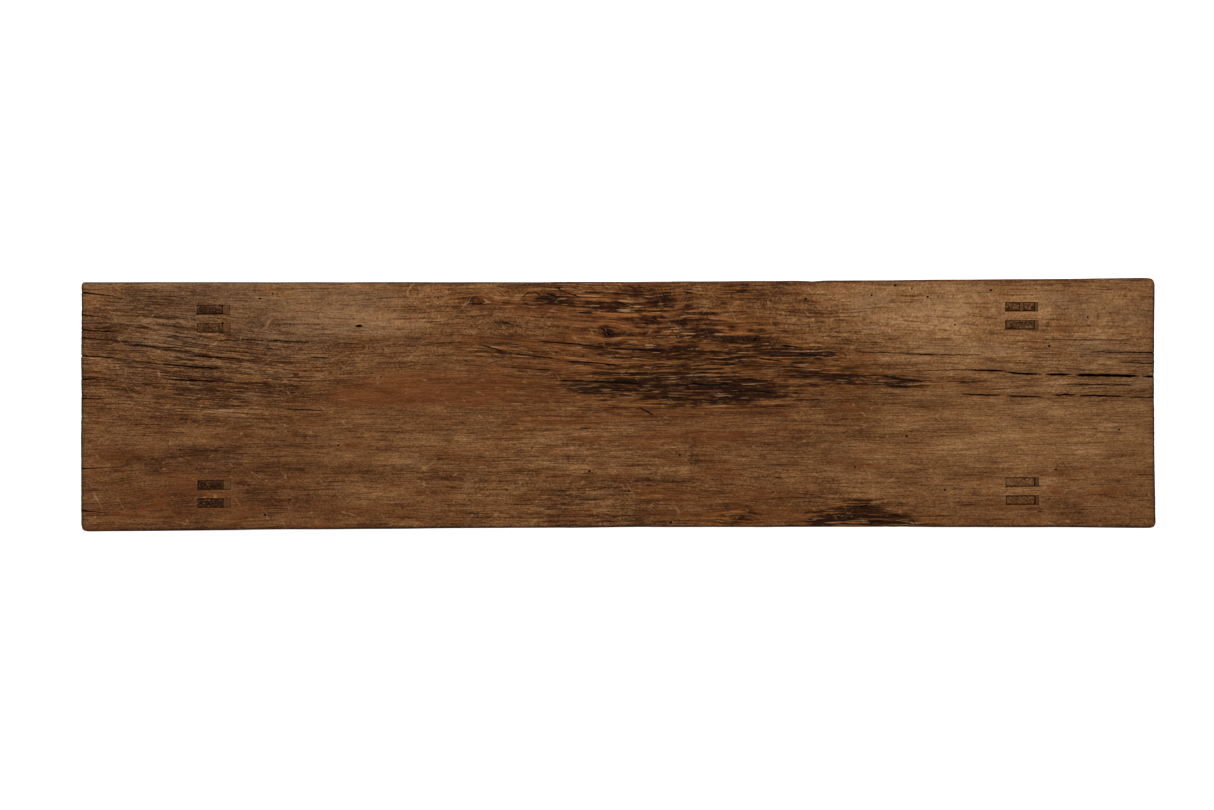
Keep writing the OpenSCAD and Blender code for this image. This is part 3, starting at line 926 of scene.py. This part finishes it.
# Stains on the seat: place and half sizes in millimetres, then tone, warmth and char
STAINS = [
    # broad light and dark areas
    (-600, -30, 210, 190, -0.13, 0, 0), (-560, -140, 230, 60, -0.07, 0.15, 0),
    (-370, 138, 110, 55, 0.16, -0.35, 0), (-560, 150, 120, 26, 0.06, -0.25, 0),
    (560, 120, 300, 90, 0.14, -0.2, 0), (430, 120, 110, 60, 0.12, -0.15, 0),
    (560, -60, 260, 90, 0.13, 0, 0), (-110, -60, 220, 50, 0.06, 0.1, 0),
    (-262, 20, 150, 32, -0.07, 0.6, 0), (-160, 100, 110, 70, 0.02, 0.05, 0),
    (40, 80, 180, 85, -0.26, 0.35, 0), (-80, 140, 110, 40, -0.14, 0.15, 0),
    (290, 50, 110, 45, -0.18, 0.25, 0), (120, -150, 110, 22, -0.06, 0.25, 0),
    (160, -40, 160, 40, -0.01, 0.2, 0), (0, -30, 80, 30, 0.05, 0.05, 0),
    (690, -110, 70, 60, -0.04, 0.15, 0), (-55, -10, 90, 26, 0.08, 0.1, 0),
    (520, -130, 120, 50, -0.07, 0.05, 0), (-218, -150, 90, 30, -0.07, 0.05, 0),
    (-663, 144, 80, 30, -0.05, 0, 0), (-367, 0, 80, 26, -0.06, 0.1, 0), (374, 150, 80, 30, 0.09, 0, 0),
    # (-605, 171) is a painted highlight: a thin pale, cool line along the rear edge where its rounding
    # catches the light.
    (-605, 171, 150, 5, 0.3, -0.5, 0), (-600, 52, 170, 48, 0.13, -0.05, 0),
    (-515, 15, 12, 4, 0.3, -0.6, 0), (-551, -6, 12, 4, 0.3, -0.6, 0), (-588, 27, 12, 3, 0.3, -0.5, 0),
    (540, 150, 240, 30, 0.05, 0, 0), (620, -20, 160, 60, 0.05, 0, 0), (240, -150, 90, 22, -0.1, 0.2, 0),
    (-350, -150, 100, 28, -0.13, 0.1, 0), (-590, 120, 220, 70, -0.09, -0.42, 0),
    (60, 60, 230, 80, -0.04, 0.26, 0), (705, 40, 70, 150, 0.02, -0.15, 0),
    (130, -100, 130, 40, 0.01, 0.2, 0), (-690, -130, 70, 60, 0, 0.2, 0),
    # char and rot
    (95, 20, 150, 22, -0.18, 0.1, 0.92), (60, 35, 130, 13, 0, 0, 0.44), (150, 10, 100, 13, 0, 0, 0.42),
    (30, 70, 150, 26, -0.03, 0, 0.46), (-40, 148, 120, 24, -0.03, 0, 0.42),
    (60, 120, 110, 34, -0.03, 0, 0.44), (150, 80, 76, 38, -0.03, 0, 0.46),
    (230, 78, 60, 18, -0.03, 0, 0.38), (298, 42, 58, 18, -0.08, 0, 0.6), (262, 68, 62, 9, 0, 0, 0.44),
    (402, 31, 58, 9, -0.04, 0, 0.6), (487, 33, 28, 7, -0.16, -0.1, 0.42),
    (165, 155, 24, 12, -0.04, -0.1, 0.46), (105, 158, 18, 8, 0, -0.2, 0.42),
    (69, 150, 9, 20, 0, 0, 0.42), (-14, 102, 8, 9, 0, 0, 0.6), (-170, 75, 60, 14, 0, 0, 0.36),
    (-92, 154, 22, 10, 0, 0, 0.42), (-195, 146, 44, 15, -0.06, 0.1, 0.34),
    # patches near the front edge
    (383, -168, 46, 10, -0.1, 0, 0.85), (340, -158, 80, 18, -0.12, 0.1, 0.4),
    (336, -152, 42, 9, -0.1, -0.1, 0.8), (334, -138, 28, 8, -0.1, -0.2, 0.6),
    (290, -163, 26, 11, -0.14, 0, 0.75), (162, -156, 36, 18, -0.28, 0.1, 0.5),
    (54, -124, 28, 13, -0.16, 0.1, 0.3), (73, -164, 14, 7, -0.12, 0, 0.28),
    (260, -148, 12, 5, -0.14, 0, 0.22),
    # smudges elsewhere
    (-142, -31, 13, 6, -0.2, 0, 0.46), (-105, -24, 30, 4, -0.14, 0.2, 0.14),
    (-52, -47, 18, 4, -0.16, 0.3, 0.1), (-24, -84, 18, 5, -0.22, 0.1, 0.1),
    (-60, -125, 32, 9, -0.12, -0.1, 0.06), (-195, -80, 22, 6, -0.12, 0.4, 0.05),
    (-330, -63, 16, 4, -0.14, 0, 0.05), (-373, -54.5, 9, 4, -0.3, 0.5, 0.1),
    (-683, -68, 34, 6, -0.16, 0.2, 0.05), (-557, -61, 38, 18, -0.12, -0.3, 0.06),
    (-486, -85, 32, 18, -0.14, -0.1, 0.08), (-643, -88.5, 8, 5, -0.22, -0.3, 0.16),
    (-615, -138, 11, 7, -0.18, -0.2, 0.16), (-626, -122, 11, 4, -0.16, -0.1, 0.12),
    (-632, 138, 26, 8, -0.14, 0, 0.14), (-454, 99, 12, 5, -0.22, 0.1, 0.14),
    (-470, 110, 40, 26, 0.05, -0.3, 0), (-726, 107, 46, 7, -0.36, 0, 0.26),
    (-738, 44, 30, 11, -0.2, 0, 0.16), (-700, 60, 50, 30, -0.04, -0.1, 0.05),
    (-640, 150, 60, 12, -0.08, -0.1, 0.1), (-540, 50, 120, 40, -0.04, -0.1, 0.07),
    (104, -75, 6, 20, -0.16, -0.5, 0), (312, -57, 22, 9, -0.1, -0.35, 0.05),
    (150, -42, 45, 5, -0.12, 0.4, 0.05), (240, -128, 48, 4, -0.12, 0.2, 0.1),
    (345, -87, 26, 3, -0.1, 0.6, 0), (490, -125, 12, 5, -0.12, -0.2, 0.12),
    (690, -122, 16, 6, -0.14, 0.5, 0), (608, -121, 10, 6, -0.2, 0.6, 0.05),
    (697, -38, 6, 8, -0.18, -0.3, 0.1), (462, 142, 8, 3, -0.12, -0.6, 0.06),
    (620, 104, 16, 9, -0.06, 0.5, 0), (508, 122, 10, 20, -0.04, 0.5, 0),
    (118, 138, 14, 12, 0.24, -0.5, -0.3), (-18, 64, 26, 4, 0.2, -0.4, -0.2),
]

# How far the grain drifts across the seat as it runs to the right: from x, to x, at y, reach and drift
DRIFTS = [(-760, -430, 70, 110, 26), (-230, 60, 75, 100, 12),
          (-760, -560, -100, 70, -9), (300, 700, 60, 110, 6)]

# Knots that the grain flows round: place and reach in millimetres
KNOTS = [(-142, -31.5, 26, 9), (-214, 11.5, 18, 8), (167, -157, 26, 13), (-14, 102, 16, 10),
         (222, -104, 18, 8), (-190, 146, 22, 8)]

# Where the seat's grain stands raised: height, then place and reach along and across the seat
RAISED = [(0.9, -0.56, 0.20, 0.045, 0.075), (0.7, 0.10, 0.30, 0.05, 0.07), (0.35, 0.66, 0.16, 0.04, 0.06),
          (0.45, -0.67, 0.14, 0.12, 0.06)]


def seat_stain(x, y, depth, from_edge):
    """Tone, warmth and char over the seat: stains, a clean halo round each joint, and painted shade along the
    edges.
    """
    near_top = np.exp(-depth / (9 * MM))
    stain = np.zeros((len(x), 3))
    for cx, cy, rx, ry, *amounts in STAINS:
        weight = np.exp(-1.2 * (((x / MM - cx) / rx) ** 2 + ((y / MM - cy) / ry) ** 2)) * near_top
        stain += weight[:, None] * amounts
    halo = bump_of(abs(x) / MM, 563, 42) * bump_of(abs(y) / MM, 122, 30) * near_top
    stain += halo[:, None] * (0.12, 0.30, 0.0)
    # Painted shade: the tone darkens within a few millimetres of the edges, darkest at the very rim where the
    # rounded arris turns from the light.
    stain[:, 0] -= 0.35 * np.exp(-from_edge / (2.4 * MM)) * near_top
    stain[:, 0] -= 0.85 * np.exp(-from_edge / (1.4 * MM)) * np.exp(-depth / (5 * MM))
    stain[:, 2] = 1.0 - np.exp(-1.6 * np.maximum(stain[:, 2], 0.0))
    return stain


def grain_drift(x, y):
    """How far the grain wanders across the seat, and how it flows round the knots."""
    drift = np.zeros_like(x)
    for start, stop, middle, reach, amount in DRIFTS:
        drift += amount * MM * ramp_of(x / MM, start, stop) * bump_of(y / MM, middle, reach)
    for kx, ky, rx, ry in KNOTS:
        near_knot = np.exp(-((x / MM - kx) / rx) ** 2 - ((y / MM - ky) / ry) ** 2)
        drift -= 0.55 * (y - ky * MM) * near_knot
    return drift


def inside_cuts(squared, y, z):
    """1 inside cracks and holes, where the finish paints shadow, 0 on the seat's faces and near its long
    edges.
    """
    off_front, off_rear = y - seat_low.y, seat_high.y - y
    skin = np.minimum.reduce([seat_high.x - abs(squared), off_front, off_rear, SEAT_TOP - z, z - seat_low.z])
    cut = ramp_of(skin, 0.1 * MM, 1.3 * MM) * (skin > 0)
    return np.where((off_front > 9 * MM) & (off_rear > 9 * MM), cut, 0.0)


def seat_fields(mesh):
    """Stores on the seat what its relief and finish read."""
    found = positions(mesh)
    x, y, z = found.T
    squared = x - np.array([end_shift(*place) for place in zip(x, y)])
    marks = np.linspace(seat_low.x, seat_high.x, 501)
    front, rear = (np.interp(squared, marks, edge) for edge in edge_lines(marks))
    from_edge = np.minimum.reduce([seat_high.x - abs(squared), y - front, rear - y])
    heart_across, heart_depth = 35 * MM, 150 * MM
    place = np.stack([x, y + grain_drift(x, y) - heart_across, z - SEAT_TOP + heart_depth], axis=1)
    raised = sum(height * bump_of(x, cx, rx) * bump_of(y, cy, ry) for height, cx, rx, cy, ry in RAISED)
    raised += 0.25 * bump_of(x, 0.02, 0.40) + 0.02
    joints = bump_of(abs(x), 0.563, 0.040) * bump_of(abs(y), 0.122, 0.034)
    wear = np.clip(1.0 - 1.6 * joints, 0.1, 1.0) * ramp_of(from_edge, 12 * MM, 8 * MM)
    store(mesh, "grain_place", place)
    store(mesh, "stain", seat_stain(x, y, SEAT_TOP - z, from_edge))
    store(mesh, "raised", np.clip(raised, 0, 1))
    store(mesh, "wear", wear)
    store(mesh, "cut", inside_cuts(squared, y, z))
    store(mesh, "end_grain", (seat_high.x - abs(x) < 4.6 * MM) * abs(normals(mesh)[:, 0]))


# ---- Legs, rails, wedges and pegs ----

def merged_copy(node):
    """A CAD node's mesh with its loose triangles joined."""
    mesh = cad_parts[node].data.copy()
    mesh.materials.clear()
    joined = bmesh.new()
    joined.from_mesh(mesh)
    bmesh.ops.remove_doubles(joined, verts=joined.verts, dist=1e-6)
    joined.to_mesh(mesh)
    joined.free()
    return mesh


def level_middle(found, z):
    """The middle of the points at one height."""
    level = found[abs(found[:, 2] - z) < 1e-4]
    return (level.min(axis=0) + level.max(axis=0)) / 2


def grain_axes(node):
    """Directions along the grain, across it and through the board."""
    x, y, z = np.eye(3)
    if node.startswith("leg"):
        found = positions(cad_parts[node].data)
        along = level_middle(found, seat_low.z) - level_middle(found, 0.0)
        along /= np.linalg.norm(along)
        across = np.cross(y, along)
        across /= np.linalg.norm(across)
        return along, across, np.cross(along, across)
    if node.startswith(("apron_strip", "spandrel_front", "spandrel_rear")):
        return x, z, y
    if node.startswith(("end_apron", "upper_stretcher", "lower_stretcher")):
        return y, z, x
    if node.startswith(("wedge", "kerf")):
        return z, x, y
    if node == "spandrel_pegs":
        return y, x, z
    return x, y, z


def board_fields(mesh, node, number):
    """Stores on a board what its relief and finish read. Each board has its own stretch of tree."""
    found = positions(mesh)
    along, across, through = grain_axes(node)
    middle = (found.min(axis=0) + found.max(axis=0)) / 2
    local = (found - middle) @ np.array([along, across, through]).T
    heart_across = 48 * MM + 34 * MM * math.sin(2.4 * number)
    heart_depth = 60 * MM + 25 * MM * math.cos(1.9 * number)
    store(mesh, "grain_place", local + (1.7 * number, heart_across, heart_depth))
    facing = abs(normals(mesh) @ along)
    store(mesh, "end_grain", facing * END_GRAIN.get(node, 1.0))
    store(mesh, "raised", np.full(len(found), 0.35))
    store(mesh, "stain", board_stain(found, facing, node, number))
    store(mesh, "cut", np.zeros(len(found)))
    at_seat = ramp_of(found[:, 2], SEAT_TOP - 30 * MM, SEAT_TOP - 5 * MM)
    store(mesh, "wear", 1.0 - 0.2 * at_seat)


# How dark the legs' ends in the seat are: the right front ones were cleaned, the left ones are black
END_GRAIN = {"leg_front_right": 0.55, "leg_rear_right": 0.7, "leg_rear_left": 0.8}
# For the outer and the inner tenon of each leg: char and tone
TENON_ENDS = {"leg_front_left": ((0.8, -0.35), (0.7, -0.2)), "leg_rear_left": ((0.62, -0.22), (0.36, 0)),
              "leg_rear_right": ((0.36, 0.1), (0.42, 0.06)), "leg_front_right": ((0.26, 0.06), (0.14, 0.12))}
# Char on the wedges that are dirtier than the rest
DIRTY_WEDGES = {"wedge_front_left_outer": 0.4, "wedge_rear_left_inner": 0.35,
                "wedge_front_right_inner": 0.45, "wedge_front_right_outer": 0.5}


def board_stain(found, facing, node, number):
    """Tone, warmth and char for a board that isn't the seat."""
    z = found[:, 2]
    tone = np.full(len(found), 0.05 * math.sin(3.1 * number))
    warmth = np.full(len(found), 0.12 * math.cos(1.7 * number))
    char = np.zeros(len(found))
    if node.startswith("leg"):
        foot = np.exp(-z / (50 * MM))
        tone -= 0.20 * foot
        warmth -= 0.25 * foot
        at_top = (z > SEAT_TOP - 6 * MM) & (facing > 0.4)
        out = abs(found[:, 1])
        is_outer = out > (out[at_top].min() + out[at_top].max()) / 2
        for chosen, (its_char, its_tone) in zip((is_outer, ~is_outer), TENON_ENDS[node]):
            char = np.where(at_top & chosen, its_char, char)
            tone = np.where(at_top & chosen, its_tone, tone)
    if node.startswith(("wedge", "kerf")):
        char += DIRTY_WEDGES.get(node, 0.1)
    return np.stack([tone, warmth, char], axis=1)


def remeshed(piece, voxel):
    """Gives a piece evenly spaced points."""
    modifier = piece.modifiers.new("points", "REMESH")
    modifier.mode, modifier.voxel_size, modifier.adaptivity = "VOXEL", voxel, 0.0
    keep_result(piece)


def make_board(node, finish, fine=False):
    """A worn board in place of a CAD node."""
    timber = bpy.context.scene.bench_timber
    piece = link("old_" + node, merged_copy(node))
    remeshed(piece, timber.fine_voxel if fine else timber.voxel)
    board_fields(piece.data, node, sorted(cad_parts).index(node))
    share = 0.35 if fine else 1.0
    apply_tree(piece, tree_named("Old board", weathering_tree), finish=finish,
               grain_relief=timber.grain_relief * share, hollows=timber.hollows * share,
               furrows=0.0, edge_wear=timber.edge_wear * share, edge_reach=3)
    shade_smooth(piece.data)
    place_piece(piece, node)
    return piece


def place_piece(piece, node):
    """Says which body a piece rides on and which CAD node it replaces."""
    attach(piece, BODY)
    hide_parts(node)


def nodes_starting(*starts):
    """The CAD nodes whose names start with one of these."""
    return [node for node in sorted(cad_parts) if node.startswith(starts)]


# ---- Operators ----

class BENCH_OT_seat(bpy.types.Operator):
    """Build the worn seat plank with its mortises, cracks, gouges and worm holes"""
    bl_idname = "bench.seat"
    bl_label = "Seat plank"

    def execute(self, context):
        shape = context.scene.bench_seat
        piece = link("old_" + SEAT, seat_loft())
        cut_away(piece, link("mortises", mortise_cutter()))
        cut_away(piece, link("cracks", blade_cutter("cracks", CRACKS, 7)))
        cut_away(piece, link("gouges", blade_cutter("gouges", GOUGES, 19)))
        cut_away(piece, hole_cutter())
        if len(piece.data.polygons) < 1000:
            raise RuntimeError("the seat was lost while it was being cut")
        seat_fields(piece.data)
        apply_tree(piece, tree_named("Old board", weathering_tree), finish=finish_named("seat_elm", old_elm),
                   grain_relief=shape.grain_relief, hollows=shape.hollows, furrows=shape.furrows,
                   edge_wear=shape.edge_wear, edge_reach=2)
        shade_smooth(piece.data)
        place_piece(piece, SEAT)
        return {"FINISHED"}


class BENCH_OT_legs(bpy.types.Operator):
    """Build the four worn legs with their pairs of tenons"""
    bl_idname = "bench.legs"
    bl_label = "Legs"

    def execute(self, context):
        for node in nodes_starting("leg_"):
            make_board(node, finish_named("leg_elm", old_elm))
        return {"FINISHED"}


class BENCH_OT_aprons(bpy.types.Operator):
    """Build the apron strips, the spandrels below them and the end aprons"""
    bl_idname = "bench.aprons"
    bl_label = "Aprons and spandrels"

    def execute(self, context):
        for node in nodes_starting("apron_strip", "spandrel_front", "spandrel_rear", "end_apron"):
            make_board(node, finish_named("apron_elm", old_elm))
        return {"FINISHED"}


class BENCH_OT_stretchers(bpy.types.Operator):
    """Build the upper and lower stretchers at both ends"""
    bl_idname = "bench.stretchers"
    bl_label = "Stretchers"

    def execute(self, context):
        for node in nodes_starting("upper_stretcher", "lower_stretcher"):
            make_board(node, finish_named("stretcher_elm", old_elm))
        return {"FINISHED"}


class BENCH_OT_fastenings(bpy.types.Operator):
    """Build the wedges in the tenons and the pegs through the joints"""
    bl_idname = "bench.fastenings"
    bl_label = "Wedges and pegs"

    def execute(self, context):
        for node in nodes_starting("wedge_", "kerf_wedge"):
            make_board(node, finish_named("split_wedges", wedge_wood), fine=True)
        for node in nodes_starting("stretcher_pegs", "spandrel_pegs", "apron_pegs"):
            make_board(node, finish_named("bamboo_pegs", peg_wood), fine=True)
        return {"FINISHED"}


class BENCH_OT_stage(bpy.types.Operator):
    """Set up the floor, the soft light and the camera straight above the seat"""
    bl_idname = "bench.stage"
    bl_label = "Stage"

    def execute(self, context):
        stage = context.scene.bench_stage
        reach = 9.0  # from the floor's middle to its edges
        corners = [(-reach, -reach, 0), (reach, -reach, 0), (reach, reach, 0), (-reach, reach, 0)]
        mesh = bpy.data.meshes.new("floor")
        mesh.from_pydata(corners, [], [(0, 1, 2, 3)])
        floor = link("floor", mesh)
        mesh.materials.append(finish_named("plain_floor", plain_floor))
        context.scene.world = pale_sky(stage)
        add_softbox(stage)
        add_camera(context, stage)
        context.scene.view_settings.view_transform = "Standard"
        return {"FINISHED"}


def pale_sky(stage):
    """Even white light all round, which the camera sees as plain white."""
    world = bpy.data.worlds.new("studio")
    world.use_nodes = True
    tree = world.node_tree
    background = tree.nodes["Background"]
    background.inputs["Color"].default_value = (1.0, 1.0, 1.0, 1.0)
    seen = add(tree, "ShaderNodeLightPath", None, None, "Is Camera Ray")
    tree.links.new((seen * (1.05 - stage.sky) + stage.sky).socket, background.inputs["Strength"])
    return world


def add_softbox(stage):
    """A large softbox above and behind the bench, leaning towards it."""
    light = bpy.data.lights.new("softbox", "AREA")
    light.shape, light.size, light.size_y, light.energy = "RECTANGLE", 3.2, 1.6, stage.lamp
    lamp = bpy.data.objects.new("softbox", light)
    bpy.context.scene.collection.objects.link(lamp)
    lamp.location = (-0.5, 1.5, SEAT_TOP + 1.7)
    lamp.rotation_euler = (math.radians(-41), 0, 0)


def add_camera(context, stage):
    """A camera that looks straight down on the seat."""
    data = bpy.data.cameras.new("camera")
    data.sensor_width = 36.0
    data.lens = data.sensor_width * stage.camera_height / stage.view_width
    camera = bpy.data.objects.new("camera", data)
    context.scene.collection.objects.link(camera)
    camera.location = (stage.camera_offset, 0.0, SEAT_TOP + stage.camera_height)
    camera.rotation_euler = (0.0, 0.0, stage.roll)
    context.scene.camera = camera


class BENCH_PT_panel(bpy.types.Panel):
    """The bench's pieces and stage"""
    bl_idname = "BENCH_PT_panel"
    bl_label = "Plank bench"
    bl_space_type = "VIEW_3D"
    bl_region_type = "UI"
    bl_category = "Bench"

    def draw(self, context):
        for operator in OPERATORS:
            self.layout.operator(operator.bl_idname)
        for group in GROUPS:
            settings = getattr(context.scene, group)
            box = self.layout.box()
            for name in settings.bl_rna.properties.keys():
                if name not in ("rna_type", "name"):
                    box.prop(settings, name)


GROUPS = {"bench_seat": BenchSeat, "bench_timber": BenchTimber, "bench_colours": BenchColours,
          "bench_stage": BenchStage}
OPERATORS = [BENCH_OT_seat, BENCH_OT_legs, BENCH_OT_aprons, BENCH_OT_stretchers, BENCH_OT_fastenings,
             BENCH_OT_stage]


def register():
    for group, kind in GROUPS.items():
        bpy.utils.register_class(kind)
        setattr(bpy.types.Scene, group, bpy.props.PointerProperty(type=kind))
    for kind in [*OPERATORS, BENCH_PT_panel]:
        bpy.utils.register_class(kind)


def unregister():
    for kind in [BENCH_PT_panel, *reversed(OPERATORS)]:
        bpy.utils.unregister_class(kind)
    for group, kind in GROUPS.items():
        delattr(bpy.types.Scene, group)
        bpy.utils.unregister_class(kind)


def main():
    register()
    bpy.ops.bench.seat()
    bpy.ops.bench.legs()
    bpy.ops.bench.aprons()
    bpy.ops.bench.stretchers()
    bpy.ops.bench.fastenings()
    bpy.ops.bench.stage()


if __name__ == "__main__":
    main()
